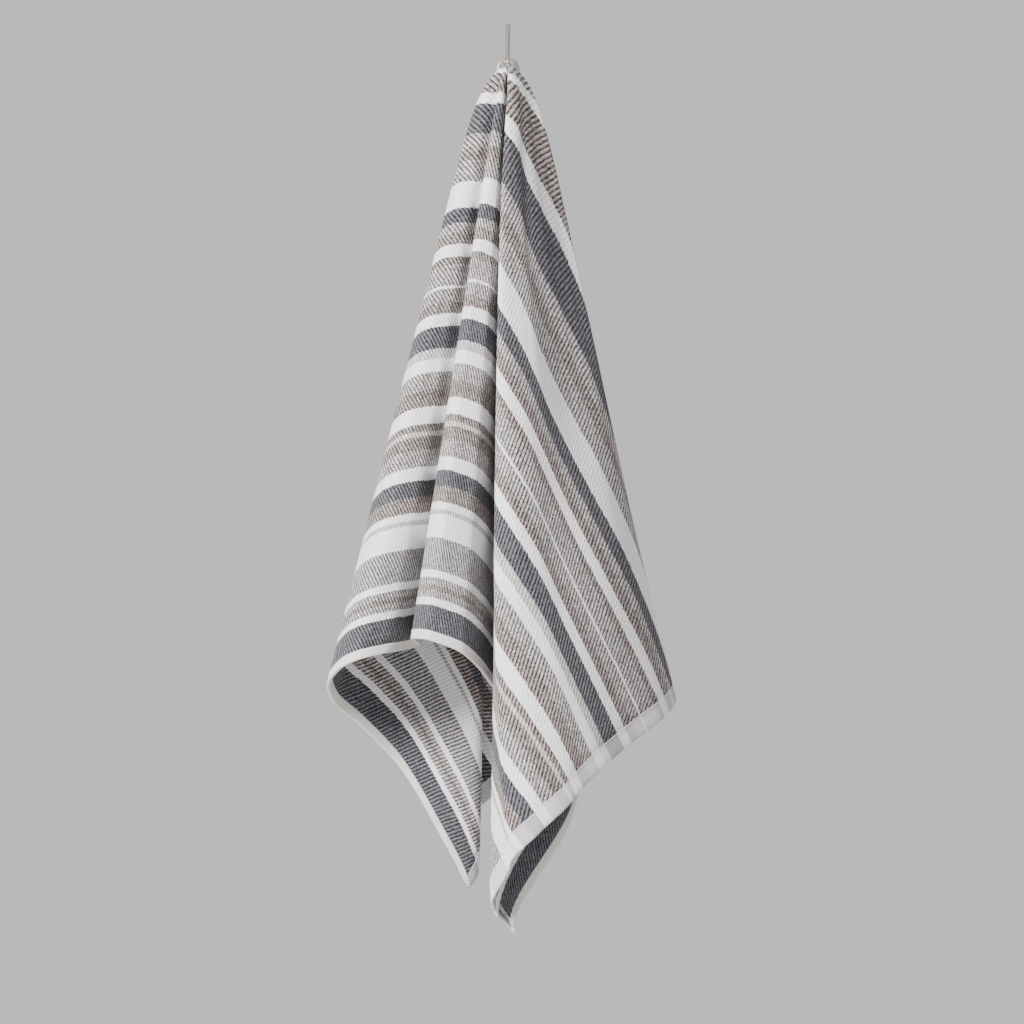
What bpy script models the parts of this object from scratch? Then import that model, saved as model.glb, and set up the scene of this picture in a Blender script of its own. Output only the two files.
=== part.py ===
# A terry bath towel hung by one point on a wall hook with two prongs.
# Metres. The wall is the plane y = 0, the room is toward -y, and z is up.
# The origin is the centre of the wall bracket's back face.
import math

import bmesh
import bpy
import numpy as np
from mathutils import Vector

# Towel, laid flat: s runs along its long sides and t across them, both from the hang point.
S_LEFT = -0.650
S_RIGHT = 0.695
T_UPPER = -0.048
T_LOWER = 0.638
SIDE_HEM = 0.0095
END_HEM = 0.0195
JOIN_GAP = 0.0005
PILE_THICK = 0.0036
HEM_THICK = 0.0030
APEX_THICK = 0.0018
THREAD_RADIUS = 0.0004
RINGS = 18
TOP_RINGS = (0.0025, 0.006, 0.011, 0.018, 0.027)

# Hook
HANG = Vector((0.0, -0.080, -0.0065))
BRACKET_RADIUS = 0.0085
BRACKET_DEPTH = 0.0045
SCREW_SPREAD = 0.0050
SCREW_SHANK_RADIUS = 0.0015
SCREW_HEAD_RADIUS = 0.0028
SCREW_HEAD_DEPTH = 0.0016
ROSETTE_RADIUS = 0.0130
ROSETTE_WALL = 0.0016
ROSETTE_DEPTH = 0.0092
ROSETTE_FRONT = 0.0020
STEM_RADIUS = 0.0035
HUB_RADIUS = 0.0062
HUB_Y = -0.0210
PRONG_TOP_RADIUS = 0.0030
PRONG_ROOT_RADIUS = 0.0023
ARM_RADIUS = 0.0029
TIP_RADIUS = 0.0034
GAP = 0.0003

# How the cloth falls from the hang point. Each row is one straight line of the cloth, named by its
# angle on the flat towel, where 0 runs square to the long sides. Then come its lean to the right and
# toward the room in degrees, where it leaves the rounded top, right and roomward in millimetres, and
# how far it bows to the right at a third of the way down and flares to the right at its foot.
FALL = np.array(
    [
        (-180, 0.0, -3.0, 0.0, 0.0, 0, 0),
        (-172, 0.3, -3.0, 4.8, 0.0, 0, 0),
        (-165, 0.5, -2.9, 7.8, -1.0, 0, 0),
        (-150, 0.6, -2.8, 10.5, -3.0, 0, 0),
        (-125, -0.6, -1.8, 12.0, -6.0, 0, 0),
        (-110, -2.4, -0.8, 13.6, -7.4, 0, 0),
        (-103, -1.8, -0.1, 15.0, -8.0, 0, 0),
        (-96, 0.6, -0.4, 16.8, -8.0, 0, 0),
        (-92.5, 4.4, -1.0, 18.4, -7.8, 1, 0),
        (-88, 9.2, -1.6, 21.0, -7.0, 3, 0),
        (-84, 12.4, -1.4, 23.6, -5.5, 3, 0),
        (-80, 14.4, -0.6, 25.0, -3.0, 1, 0),
        (-76.5, 14.8, 1.4, 24.0, 0.5, -12, 0),
        (-73, 13.6, 4.6, 22.5, 5.0, -22, 0),
        (-70, 11.4, 7.0, 20.0, 9.0, -23, 4),
        (-65.6, 8.0, 9.8, 16.0, 12.0, -19, 12),
        (-62, 5.4, 11.6, 12.5, 14.2, -13, 18),
        (-59, 3.4, 12.9, 10.0, 15.6, -12, 24),
        (-56, 0.8, 13.6, 6.5, 16.6, -10, 27),
        (-53, -1.3, 12.8, 2.4, 16.8, -4.5, 22),
        (-50, -1.2, 10.4, 2.2, 15.6, -3, 2),
        (-47.5, -0.3, 8.6, 3.0, 14.6, -3, 0),
        (-38.5, 4.9, 6.5, 4.6, 14.2, -2, 0),
        (-33, 6.0, 4.8, 4.8, 12.6, 0, 0),
        (-28, 3.6, 2.9, 1.9, 11.4, 0, 0),
        (-20, -1.2, 4.3, -1.6, 12.0, 0, 0),
        (-15, -2.6, 8.2, -2.4, 13.8, 0, 0),
        (-10, -4.6, 12.0, -3.2, 15.2, 0, 0),
        (-5, -7.4, 12.6, -4.2, 15.8, 0, 0),
        (0, -9.2, 9.8, -5.0, 15.4, 0, 0),
        (5, -8.5, 6.4, -7.0, 12.8, 0, 0),
        (10, -9.8, 7.8, -10.6, 12.8, 0, 0),
        (14, -11.5, 10.2, -15.0, 12.0, 0, 0),
        (17.5, -13.5, 10.8, -19.0, 10.4, 0, 0),
        (21, -15.3, 8.8, -23.0, 7.4, 0, 0),
        (24.4, -16.0, 5.6, -26.0, 3.0, 0, 0),
        (27, -15.4, 2.8, -26.0, -0.4, 0, 0),
        (30, -13.0, -0.2, -25.0, -3.2, 0, 0),
        (35.5, -8.8, -2.6, -22.0, -6.6, 0, 0),
        (40.5, -5.8, -2.2, -18.6, -8.2, 0, 0),
        (45.5, -3.1, -1.9, -16.0, -8.8, 0, 0),
        (47.5, -2.5, -2.4, -15.6, -9.4, 0, 0),
        (50, -2.8, -3.4, -15.4, -10.8, 0, 0),
        (52.2, -2.6, -3.8, -15.0, -11.4, 0, 0),
        (54, -1.3, -3.9, -14.2, -11.6, 0, 0),
        (63, 4.6, -3.8, -12.6, -11.6, 0, 0),
        (68, 5.8, -4.3, -12.6, -13.8, 0, 0),
        (73, 4.2, -5.0, -12.8, -16.6, 0, 0),
        (82, -0.5, -5.2, -13.2, -17.2, 0, 0),
        (90, -6.0, -5.1, -14.0, -17.8, 0, 0),
        (96, -9.6, -5.0, -14.8, -18.0, 0, 0),
        (103, -12.8, -4.9, -15.4, -18.2, 0, 0),
        (110, -14.6, -5.2, -15.4, -19.0, 0, 0),
        (125, -7.0, -5.0, -13.8, -19.0, 0, 0),
        (150, -1.2, -3.4, -10.5, -11.0, 0, 0),
        (165, -0.5, -2.9, -7.8, -4.0, 0, 0),
        (172, -0.3, -3.0, -4.8, -1.0, 0, 0),
        (180, 0.0, -3.0, 0.0, 0.0, 0, 0),
    ]
)
# Past this angle the cloth also leans back over the lower prong, toward the wall.
LEAN_FROM = 108.0
LEAN_MOST = 84.0
SMALLEST_TOP = 0.012
# The leans are those of straight lines from the hang point to the cloth at this depth.
LEAN_AT = 0.65
BOW_DOWN_TO = 0.70
FOOT_FROM = 0.50
FOOT_AT = 0.85


def clear_scene():
    for obj in list(bpy.data.objects):
        bpy.data.objects.remove(obj, do_unlink=True)
    for group in list(bpy.data.collections):
        bpy.data.collections.remove(group)


def material(name, colour, roughness, metallic=0.0):
    made = bpy.data.materials.new(name)
    made.use_nodes = True
    shader = made.node_tree.nodes["Principled BSDF"]
    shader.inputs["Base Color"].default_value = (*colour, 1.0)
    shader.inputs["Roughness"].default_value = roughness
    shader.inputs["Metallic"].default_value = metallic
    return made


def put(obj, group, look=None):
    group.objects.link(obj)
    if look:
        obj.data.materials.clear()
        obj.data.materials.append(look)
    return obj


def mesh_object(name, points, faces, group, look=None):
    data = bpy.data.meshes.new(name)
    data.from_pydata([tuple(p) for p in points], [], faces)
    data.update()
    return put(bpy.data.objects.new(name, data), group, look)


def along_rows(x, table):
    """Monotone cubic curves through the rows of a table, at each x."""
    xs = table[:, 0]
    ys = table[:, 1:]
    step = np.diff(xs)[:, None]
    rise = np.diff(ys, axis=0) / step
    slope = np.zeros_like(ys)
    same = rise[:-1] * rise[1:] > 0
    w1 = 2 * step[1:] + step[:-1]
    w2 = step[1:] + 2 * step[:-1]
    safe_a = np.where(same, rise[:-1], 1.0)
    safe_b = np.where(same, rise[1:], 1.0)
    slope[1:-1] = np.where(same, (w1 + w2) / (w1 / safe_a + w2 / safe_b), 0.0)
    slope[0] = rise[0]
    slope[-1] = rise[-1]
    i = np.clip(np.searchsorted(xs, x, side="right") - 1, 0, len(xs) - 2)
    width = (xs[i + 1] - xs[i])[..., None]
    u = (x - xs[i])[..., None] / width
    a = ys[i]
    b = ys[i + 1]
    start = slope[i] * width
    end = slope[i + 1] * width
    return (
        (2 * u**3 - 3 * u**2 + 1) * a
        + (u**3 - 2 * u**2 + u) * start
        + (3 * u**2 - 2 * u**3) * b
        + (u**3 - u**2) * end
    )


def drape(s, t):
    """Where a point of the flat towel hangs."""
    s = np.asarray(s, float)
    t = np.asarray(t, float)
    reach = np.hypot(s, t)
    angle = np.degrees(np.arctan2(-s, t))
    row = along_rows(angle, FALL)
    top = row[..., 2:4] / 1000
    right = np.tan(np.radians(row[..., 0])) - top[..., 0] / LEAN_AT
    out = np.tan(np.radians(row[..., 1])) - top[..., 1] / LEAN_AT
    size = np.hypot(top[..., 0], top[..., 1]) + 1e-9
    curve = np.maximum(size, SMALLEST_TOP)
    left = np.exp(-reach / curve)
    root = np.sqrt(1 - left**2)
    fall = reach + curve * (np.log1p(root) - root)
    lean = np.radians(np.clip(np.abs(angle) - LEAN_FROM, 0, None) * LEAN_MOST / (180 - LEAN_FROM))
    out = out * np.cos(lean) - np.tan(lean)
    length = np.sqrt(right**2 + out**2 + 1)
    sink = fall / length
    bow = 6.75 * np.clip(sink / BOW_DOWN_TO, 0, 1) * np.clip(1 - sink / BOW_DOWN_TO, 0, 1) ** 2
    foot = (np.clip(sink - FOOT_FROM, 0, None) / (FOOT_AT - FOOT_FROM)) ** 2
    aside = (row[..., 4] * bow + row[..., 5] * foot) / 1000
    x = sink * right + aside + top[..., 0] * (1 - left)
    y = -fall * out / length - top[..., 1] * (1 - left)
    z = -fall / length
    return np.stack([x + HANG.x, y + HANG.y, z + HANG.z], -1)


def reach_in(angle, box):
    """How far the flat towel reaches from the hang point at each angle, inside a box of s and t."""
    rad = np.radians(angle)
    s = -np.sin(rad)
    t = np.cos(rad)
    far = np.full(angle.shape, 9.0)
    for part, low, high in ((s, box[0], box[1]), (t, box[2], box[3])):
        far = np.where(part > 1e-9, np.minimum(far, high / np.maximum(part, 1e-9)), far)
        far = np.where(part < -1e-9, np.minimum(far, low / np.minimum(part, -1e-9)), far)
    return far


BODY_BOX = (
    S_LEFT + END_HEM + JOIN_GAP,
    S_RIGHT - END_HEM - JOIN_GAP,
    T_UPPER + SIDE_HEM + JOIN_GAP,
    T_LOWER - SIDE_HEM - JOIN_GAP,
)


def angles():
    """The columns of the cloth: every row of FALL, the points between, and the body's corners."""
    rows = FALL[:, 0]
    found = list(rows)
    for a, b in zip(rows[:-1], rows[1:]):
        parts = 3 if b - a > 12 else 2
        found += [a + (b - a) * k / parts for k in range(1, parts)]
    corners = []
    for s in BODY_BOX[:2]:
        for t in BODY_BOX[2:]:
            corners.append(math.degrees(math.atan2(-s, t)))
    kept = [a for a in found if min(abs(a - c) for c in corners) > 0.6]
    return np.array(sorted(set(kept + corners)))[1:]


def unit(v):
    return v / np.maximum(np.linalg.norm(v, axis=-1, keepdims=True), 1e-12)


def facing(points, down):
    """Mitred normals of a ring of points, given the way the cloth runs at each."""
    before = unit(points - np.roll(points, 1, axis=0))
    after = unit(np.roll(points, -1, axis=0) - points)
    across = unit(before + after)
    turn = np.clip(np.sum(before * after, axis=-1), -1, 1)
    mitre = 1 / np.maximum(np.sqrt((1 + turn) / 2), 0.55)
    return unit(np.cross(down, across)) * mitre[:, None]


def half_thick(reach, full):
    grow = np.clip(reach / 0.15, 0, 1)
    grow = grow * grow * (3 - 2 * grow)
    return (APEX_THICK + (full - APEX_THICK) * grow) / 2


def body_rings():
    """Points, normals and reach of the cloth's rings, from the hang point out to the hems."""
    angle = angles()
    far = reach_in(angle, BODY_BOX)
    steps = RINGS - len(TOP_RINGS)
    reaches = [np.full_like(far, at) for at in TOP_RINGS]
    for k in range(1, steps + 1):
        reaches.append(TOP_RINGS[-1] + (far - TOP_RINGS[-1]) * (k / steps) ** 1.3)
    rings = []
    for reach in reaches:
        rad = np.radians(angle)
        s = -reach * np.sin(rad)
        t = reach * np.cos(rad)
        inner = drape(s * 0.96, t * 0.96)
        outer = drape(s, t)
        rings.append((outer, facing(outer, unit(outer - inner)), reach, s, t))
    return rings


def closed_sheet(name, rings, group, look):
    """A thick sheet from rings round one point, with its outer edge closed."""
    count = len(rings[0][0])
    top = np.array([[HANG.x, HANG.y, HANG.z]])
    up = np.array([[0.0, 0.0, 1.0]])
    points = []
    for side in (1, -1):
        points.append(top + up * side * APEX_THICK / 2)
        for place, normal, reach, _, _ in rings:
            points.append(place + side * normal * half_thick(reach, PILE_THICK)[:, None])
    points = np.concatenate(points)
    block = 1 + count * len(rings)
    faces = []
    for side in (0, 1):
        start = side * block
        for i in range(count):
            j = (i + 1) % count
            tri = (start, start + 1 + i, start + 1 + j)
            faces.append(tri if side == 0 else tri[::-1])
            for k in range(len(rings) - 1):
                a = start + 1 + k * count
                b = a + count
                quad = (a + i, b + i, b + j, a + j)
                faces.append(quad if side == 0 else quad[::-1])
    last = 1 + (len(rings) - 1) * count
    for i in range(count):
        j = (i + 1) % count
        faces.append((last + i, block + last + i, block + last + j, last + j))
    return face_out(mesh_object(name, points, faces, group, look))


def face_out(obj):
    work = bmesh.new()
    work.from_mesh(obj.data)
    bmesh.ops.triangulate(work, faces=work.faces)
    bmesh.ops.recalc_face_normals(work, faces=work.faces)
    if work.calc_volume(signed=True) < 0:
        bmesh.ops.reverse_faces(work, faces=work.faces)
    work.to_mesh(obj.data)
    work.free()
    return obj


def strip(name, inner, outer, normal, half, group, look):
    """A flat bar of cloth between two lines of points."""
    count = len(inner)
    offset = normal * half[:, None]
    points = np.concatenate([inner + offset, outer + offset, outer - offset, inner - offset])
    faces = []
    for i in range(count - 1):
        for a in range(4):
            b = (a + 1) % 4
            faces.append((a * count + i, b * count + i, b * count + i + 1, a * count + i + 1))
    faces.append(tuple(a * count for a in range(4)))
    faces.append(tuple(a * count + count - 1 for a in (3, 2, 1, 0)))
    return face_out(mesh_object(name, points, faces, group, look))


def hem_line(rings, pick, extra):
    """The body's edge points on one side as (s, t, normal), with more columns past its corners."""
    _, normal, _, s, t = rings[-1]
    chosen = [(s[i], t[i], normal[i]) for i in range(len(s)) if pick(s[i], t[i])]
    chosen.sort(key=lambda row: extra["order"](row))
    first = chosen[0]
    last = chosen[-1]
    before = [(*at, first[2]) for at in extra["before"]]
    after = [(*at, last[2]) for at in extra["after"]]
    return before + chosen + after


def thread(name, middle, normal, half, group, look):
    """A sewn line that lies on the cloth's face."""
    lift = (half + 0.0009 + THREAD_RADIUS)[:, None]
    centre = middle + normal * lift
    run = unit(np.gradient(centre, axis=0))
    side = unit(np.cross(run, normal))
    over = unit(np.cross(side, run))
    corners = []
    for a, b in ((1, 0), (0, 1), (-1, 0), (0, -1)):
        corners.append(centre + THREAD_RADIUS * (a * side + b * over))
    points = np.concatenate(corners)
    count = len(centre)
    faces = []
    for i in range(count - 1):
        for a in range(4):
            b = (a + 1) % 4
            faces.append((a * count + i, b * count + i, b * count + i + 1, a * count + i + 1))
    faces.append(tuple(a * count for a in range(4)))
    faces.append(tuple(a * count + count - 1 for a in (3, 2, 1, 0)))
    return face_out(mesh_object(name, points, faces, group, look))


def build_towel(group):
    pile = material("terry_pile", (0.45, 0.43, 0.43), 0.95)
    hem = material("side_hem_cloth", (0.80, 0.78, 0.74), 0.9)
    flat = material("end_hem_cloth", (0.68, 0.67, 0.66), 0.9)
    cotton = material("sewing_thread", (0.86, 0.85, 0.82), 0.8)
    rings = body_rings()
    closed_sheet("terry_body", rings, group, pile)
    ends = BODY_BOX
    tiny = 1e-6
    s_corner = (S_LEFT, S_LEFT + END_HEM)
    e_corner = (S_RIGHT - END_HEM, S_RIGHT)
    for name, t_body, t_in, t_out in (
        ("side_hem_lower", ends[3], T_LOWER - SIDE_HEM, T_LOWER),
        ("side_hem_upper", ends[2], T_UPPER + SIDE_HEM, T_UPPER),
    ):
        line = hem_line(
            rings,
            lambda s, t, at=t_body: abs(t - at) < tiny,
            {
                "order": lambda row: row[0],
                "before": [(s, t_body) for s in s_corner],
                "after": [(s, t_body) for s in e_corner],
            },
        )
        s = np.array([row[0] for row in line])
        normal = np.array([row[2] for row in line])
        half = half_thick(np.hypot(s, t_body), HEM_THICK)
        inner = drape(s, np.full_like(s, t_in))
        outer = drape(s, np.full_like(s, t_out))
        strip(name, inner, outer, normal, half, group, hem)
        sewn = inner + (outer - inner) * 0.06
        seam = name.replace("side_hem", "seam_side")
        thread(seam, sewn[1:-1], normal[1:-1], half[1:-1], group, cotton)
    for name, s_body, s_in, s_out in (
        ("end_hem_left", ends[0], S_LEFT + END_HEM, S_LEFT),
        ("end_hem_right", ends[1], S_RIGHT - END_HEM, S_RIGHT),
    ):
        line = hem_line(
            rings,
            lambda s, t, at=s_body: abs(s - at) < tiny,
            {"order": lambda row: row[1], "before": [], "after": []},
        )
        t = np.array([row[1] for row in line])
        normal = np.array([row[2] for row in line])
        half = half_thick(np.hypot(s_body, t), HEM_THICK)
        inner = drape(np.full_like(t, s_in), t)
        outer = drape(np.full_like(t, s_out), t)
        strip(name, inner, outer, normal, half, group, flat)
        sewn = inner + (outer - inner) * 0.03
        thread(name.replace("end_hem", "seam_end"), sewn, normal, half, group, cotton)


def turned(name, outline, group, look=None):
    """A solid turned about the y axis from (y, radius) pairs."""
    steps = 48
    points = []
    faces = []
    for y, radius in outline:
        for i in range(steps):
            turn = 2 * math.pi * i / steps
            points.append((radius * math.cos(turn), y, radius * math.sin(turn)))
    for k in range(len(outline)):
        after = (k + 1) % len(outline)
        if outline[k][1] == 0 and outline[after][1] == 0:
            continue
        for i in range(steps):
            j = (i + 1) % steps
            faces.append((k * steps + i, after * steps + i, after * steps + j, k * steps + j))
    obj = mesh_object(name, points, faces, group, look)
    work = bmesh.new()
    work.from_mesh(obj.data)
    bmesh.ops.remove_doubles(work, verts=work.verts, dist=1e-7)
    bmesh.ops.dissolve_degenerate(work, edges=work.edges, dist=1e-8)
    work.to_mesh(obj.data)
    work.free()
    return face_out(obj)


def cylinder(name, start, end, radius, group, look=None, steps=32):
    work = bmesh.new()
    a = Vector(start)
    b = Vector(end)
    turn = (b - a).to_track_quat("Z", "Y").to_matrix().to_4x4()
    bmesh.ops.create_cone(
        work, cap_ends=True, segments=steps, radius1=radius, radius2=radius, depth=(b - a).length
    )
    turn.translation = (a + b) / 2
    bmesh.ops.transform(work, matrix=turn, verts=work.verts)
    data = bpy.data.meshes.new(name)
    work.to_mesh(data)
    work.free()
    return put(bpy.data.objects.new(name, data), group, look)


def ball(name, centre, radius, group, look=None):
    work = bmesh.new()
    bmesh.ops.create_uvsphere(work, u_segments=40, v_segments=24, radius=radius)
    bmesh.ops.translate(work, vec=Vector(centre), verts=work.verts)
    data = bpy.data.meshes.new(name)
    work.to_mesh(data)
    work.free()
    return put(bpy.data.objects.new(name, data), group, look)


def combine(obj, other, how):
    step = obj.modifiers.new(f"{how.lower()}_{other.name}", "BOOLEAN")
    step.operation = how
    step.solver = "EXACT"
    step.object = other


def swept(name, stops, group, look=None):
    """A round bar through (y, z, radius) stops, with rounded ends."""
    ring = 20
    centres = [Vector((0.0, y, z)) for y, z, _ in stops]
    radii = [radius for _, _, radius in stops]
    points = []
    for k, centre in enumerate(centres):
        a = centres[max(k - 1, 0)]
        b = centres[min(k + 1, len(centres) - 1)]
        run = (b - a).normalized()
        over = Vector((1.0, 0.0, 0.0)).cross(run)
        for i in range(ring):
            turn = 2 * math.pi * i / ring
            way = Vector((1.0, 0.0, 0.0)) * math.cos(turn) + over * math.sin(turn)
            points.append(centre + way * radii[k])
    faces = []
    for k in range(len(centres) - 1):
        for i in range(ring):
            j = (i + 1) % ring
            faces.append((k * ring + i, k * ring + j, (k + 1) * ring + j, (k + 1) * ring + i))
    faces.append(tuple(range(ring)))
    faces.append(tuple((len(centres) - 1) * ring + i for i in range(ring)))
    return face_out(mesh_object(name, points, faces, group, look))


def curve_stops(knots, count):
    """Points along a smooth line through (y, z, radius) knots."""
    knots = np.array(knots, float)
    gone = np.concatenate([[0], np.cumsum(np.hypot(*np.diff(knots[:, :2], axis=0).T))])
    table = np.column_stack([gone, knots])
    xs = table[:, 0]
    ys = table[:, 1:]
    slope = np.gradient(ys, xs, axis=0)
    at = np.linspace(0, gone[-1], count)
    i = np.clip(np.searchsorted(xs, at, side="right") - 1, 0, len(xs) - 2)
    width = (xs[i + 1] - xs[i])[:, None]
    u = (at - xs[i])[:, None] / width
    return (
        (2 * u**3 - 3 * u**2 + 1) * ys[i]
        + (u**3 - 2 * u**2 + u) * slope[i] * width
        + (3 * u**2 - 2 * u**3) * ys[i + 1]
        + (u**3 - u**2) * slope[i + 1] * width
    )


def build_hook(group, tools):
    nickel = material("brushed_nickel", (0.62, 0.60, 0.57), 0.32, 1.0)
    zinc = material("zinc_bracket", (0.55, 0.55, 0.56), 0.45, 1.0)
    steel = material("screw_steel", (0.48, 0.48, 0.50), 0.4, 1.0)

    bracket = cylinder("wall_bracket", (0, 0, 0), (0, -BRACKET_DEPTH, 0), BRACKET_RADIUS, group, zinc, 48)
    for name, x in (("left", -SCREW_SPREAD), ("right", SCREW_SPREAD)):
        hole = cylinder(
            f"cut_{name}", (x, 0.001, 0), (x, -BRACKET_DEPTH - 0.001, 0), SCREW_SHANK_RADIUS + GAP, tools
        )
        combine(bracket, hole, "DIFFERENCE")
        head_from = -BRACKET_DEPTH - GAP
        head_to = head_from - SCREW_HEAD_DEPTH
        screw = cylinder(f"wall_screw_{name}", (x, -0.0001, 0), (x, head_from - 0.0006, 0), SCREW_SHANK_RADIUS, group, steel)
        head = cylinder(f"head_{name}", (x, head_from, 0), (x, head_to, 0), SCREW_HEAD_RADIUS, tools)
        slot = cylinder(f"socket_{name}", (x, head_to + 0.0008, 0), (x, head_to - 0.001, 0), 0.0011, tools, None, 6)
        combine(screw, head, "UNION")
        combine(screw, slot, "DIFFERENCE")

    back = -GAP
    front = -ROSETTE_DEPTH
    inner = ROSETTE_RADIUS - ROSETTE_WALL
    edge = 0.0016
    outline = [(back, ROSETTE_RADIUS)]
    for k in range(5):
        turn = math.pi / 2 * k / 4
        outline.append(
            (front + edge - edge * math.sin(turn), ROSETTE_RADIUS - edge + edge * math.cos(turn))
        )
    outline += [
        (front, STEM_RADIUS + GAP),
        (front + ROSETTE_FRONT, STEM_RADIUS + GAP),
        (front + ROSETTE_FRONT, inner),
        (back, inner),
    ]
    rosette = turned("rosette", outline, group, nickel)
    set_y = -0.0026
    bore = cylinder("cut_set_screw", (0, set_y, -0.010), (0, set_y, -0.015), 0.0010 + GAP, tools)
    combine(rosette, bore, "DIFFERENCE")
    cylinder(
        "set_screw", (0, set_y, -BRACKET_RADIUS - GAP), (0, set_y, -ROSETTE_RADIUS + 0.0002), 0.0010, group, steel, 20
    )

    # The stem ends inside the rosette in a collar wider than the rosette's hole.
    stem = turned(
        "hook_stem",
        [
            (-0.00665, 0.0),
            (-0.00665, 0.0030),
            (-0.00690, 0.0030),
            (-0.00690, STEM_RADIUS),
            (HUB_Y, STEM_RADIUS),
            (HUB_Y, 0.0),
        ],
        group,
        nickel,
    )
    hub = ball("hub_ball", (0, HUB_Y, 0), HUB_RADIUS, tools)
    combine(stem, hub, "UNION")
    root_up = 0.0040
    up_socket = cylinder(
        "cut_upper", (0, HUB_Y, root_up - GAP), (0, HUB_Y, 0.010), PRONG_ROOT_RADIUS + GAP, tools
    )
    combine(stem, up_socket, "DIFFERENCE")
    low_socket = cylinder(
        "cut_lower", (0, HUB_Y, -root_up + GAP), (0, HUB_Y, -0.010), ARM_RADIUS + GAP, tools
    )
    combine(stem, low_socket, "DIFFERENCE")

    upper = curve_stops(
        [
            (HUB_Y, 0.0074, PRONG_ROOT_RADIUS),
            (HUB_Y - 0.0018, 0.0135, PRONG_ROOT_RADIUS + 0.00005),
            (HUB_Y - 0.0070, 0.0220, PRONG_ROOT_RADIUS + 0.0002),
            (HUB_Y - 0.0130, 0.0300, PRONG_ROOT_RADIUS + 0.0004),
            (HUB_Y - 0.0188, 0.0370, PRONG_TOP_RADIUS - 0.0001),
            (HUB_Y - 0.0236, 0.0432, PRONG_TOP_RADIUS),
        ],
        20,
    )
    lean = np.array([-0.62, 0.785])
    tail = upper[-1]
    ends = [
        (tail[0] + 0.0003 * lean[0], tail[1] + 0.0003 * lean[1], PRONG_TOP_RADIUS - 0.0001),
        (tail[0] + 0.0006 * lean[0], tail[1] + 0.0006 * lean[1], PRONG_TOP_RADIUS - 0.0005),
    ]
    first = [(HUB_Y, root_up, PRONG_ROOT_RADIUS), (HUB_Y, 0.0060, PRONG_ROOT_RADIUS)]
    swept("upper_prong", [*first, *upper, *ends], group, nickel)

    tip_y = HANG.y
    tip_z = HANG.z - APEX_THICK / 2 - 0.0006 - TIP_RADIUS
    lower = curve_stops(
        [
            (HUB_Y, -0.0066, ARM_RADIUS),
            (HUB_Y - 0.0012, -0.0110, ARM_RADIUS),
            (HUB_Y - 0.0060, -0.0165, ARM_RADIUS),
            (HUB_Y - 0.0140, -0.0210, ARM_RADIUS),
            (HUB_Y - 0.0240, -0.0228, ARM_RADIUS),
            (HUB_Y - 0.0370, -0.0232, ARM_RADIUS),
            (HUB_Y - 0.0470, -0.0226, ARM_RADIUS),
            (tip_y + 0.0046, -0.0202, ARM_RADIUS - 0.0001),
            (tip_y + 0.0010, -0.0162, ARM_RADIUS - 0.0003),
            (tip_y, tip_z, ARM_RADIUS - 0.0005),
        ],
        30,
    )
    first = [(HUB_Y, -root_up, ARM_RADIUS), (HUB_Y, -0.0054, ARM_RADIUS)]
    arm = swept("lower_prong", [*first, *lower], group, nickel)
    knob = ball("tip_ball", (0, tip_y, tip_z), TIP_RADIUS, tools)
    combine(arm, knob, "UNION")


def main():
    clear_scene()
    scene = bpy.context.scene
    scene.unit_settings.system = "METRIC"
    scene.unit_settings.scale_length = 1.0
    towel_set = bpy.data.collections.new("bath_towel_set")
    scene.collection.children.link(towel_set)
    tools = bpy.data.collections.new("cutters")
    scene.collection.children.link(tools)
    build_hook(towel_set, tools)
    build_towel(towel_set)
    for obj in tools.objects:
        obj.hide_render = True
        obj.display_type = "WIRE"


main()
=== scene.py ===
# A striped terry bath towel hung by one point on a wall hook with two prongs.
# Metres, in the frame's own axes: the wall is y = 0, the room is toward -y, and z is up.
import math

import bmesh
import bpy
import numpy as np
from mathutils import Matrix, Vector


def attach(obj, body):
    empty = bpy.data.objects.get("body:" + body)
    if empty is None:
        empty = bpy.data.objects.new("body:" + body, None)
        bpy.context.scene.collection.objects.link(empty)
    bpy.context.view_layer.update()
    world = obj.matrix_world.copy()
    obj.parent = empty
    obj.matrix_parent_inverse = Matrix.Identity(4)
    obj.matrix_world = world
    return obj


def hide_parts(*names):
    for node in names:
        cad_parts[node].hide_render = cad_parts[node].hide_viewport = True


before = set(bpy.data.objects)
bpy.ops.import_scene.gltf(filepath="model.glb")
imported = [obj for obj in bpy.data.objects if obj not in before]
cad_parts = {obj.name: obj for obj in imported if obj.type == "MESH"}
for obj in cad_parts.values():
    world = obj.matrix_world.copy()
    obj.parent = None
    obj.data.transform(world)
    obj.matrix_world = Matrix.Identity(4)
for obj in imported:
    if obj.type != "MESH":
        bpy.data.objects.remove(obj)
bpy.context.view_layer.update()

# Towel, laid flat: s runs along its long sides and t across them, both from the hang point.
S_LEFT = -0.650
S_RIGHT = 0.695
T_UPPER = -0.048
T_LOWER = 0.638
SIDE_HEM = 0.0095
END_HEM = 0.0195
PILE_THICK = 0.0036
HEM_THICK = 0.0030
APEX_THICK = 0.0018
HANG = np.array((0.0, -0.080, -0.0065))

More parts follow.
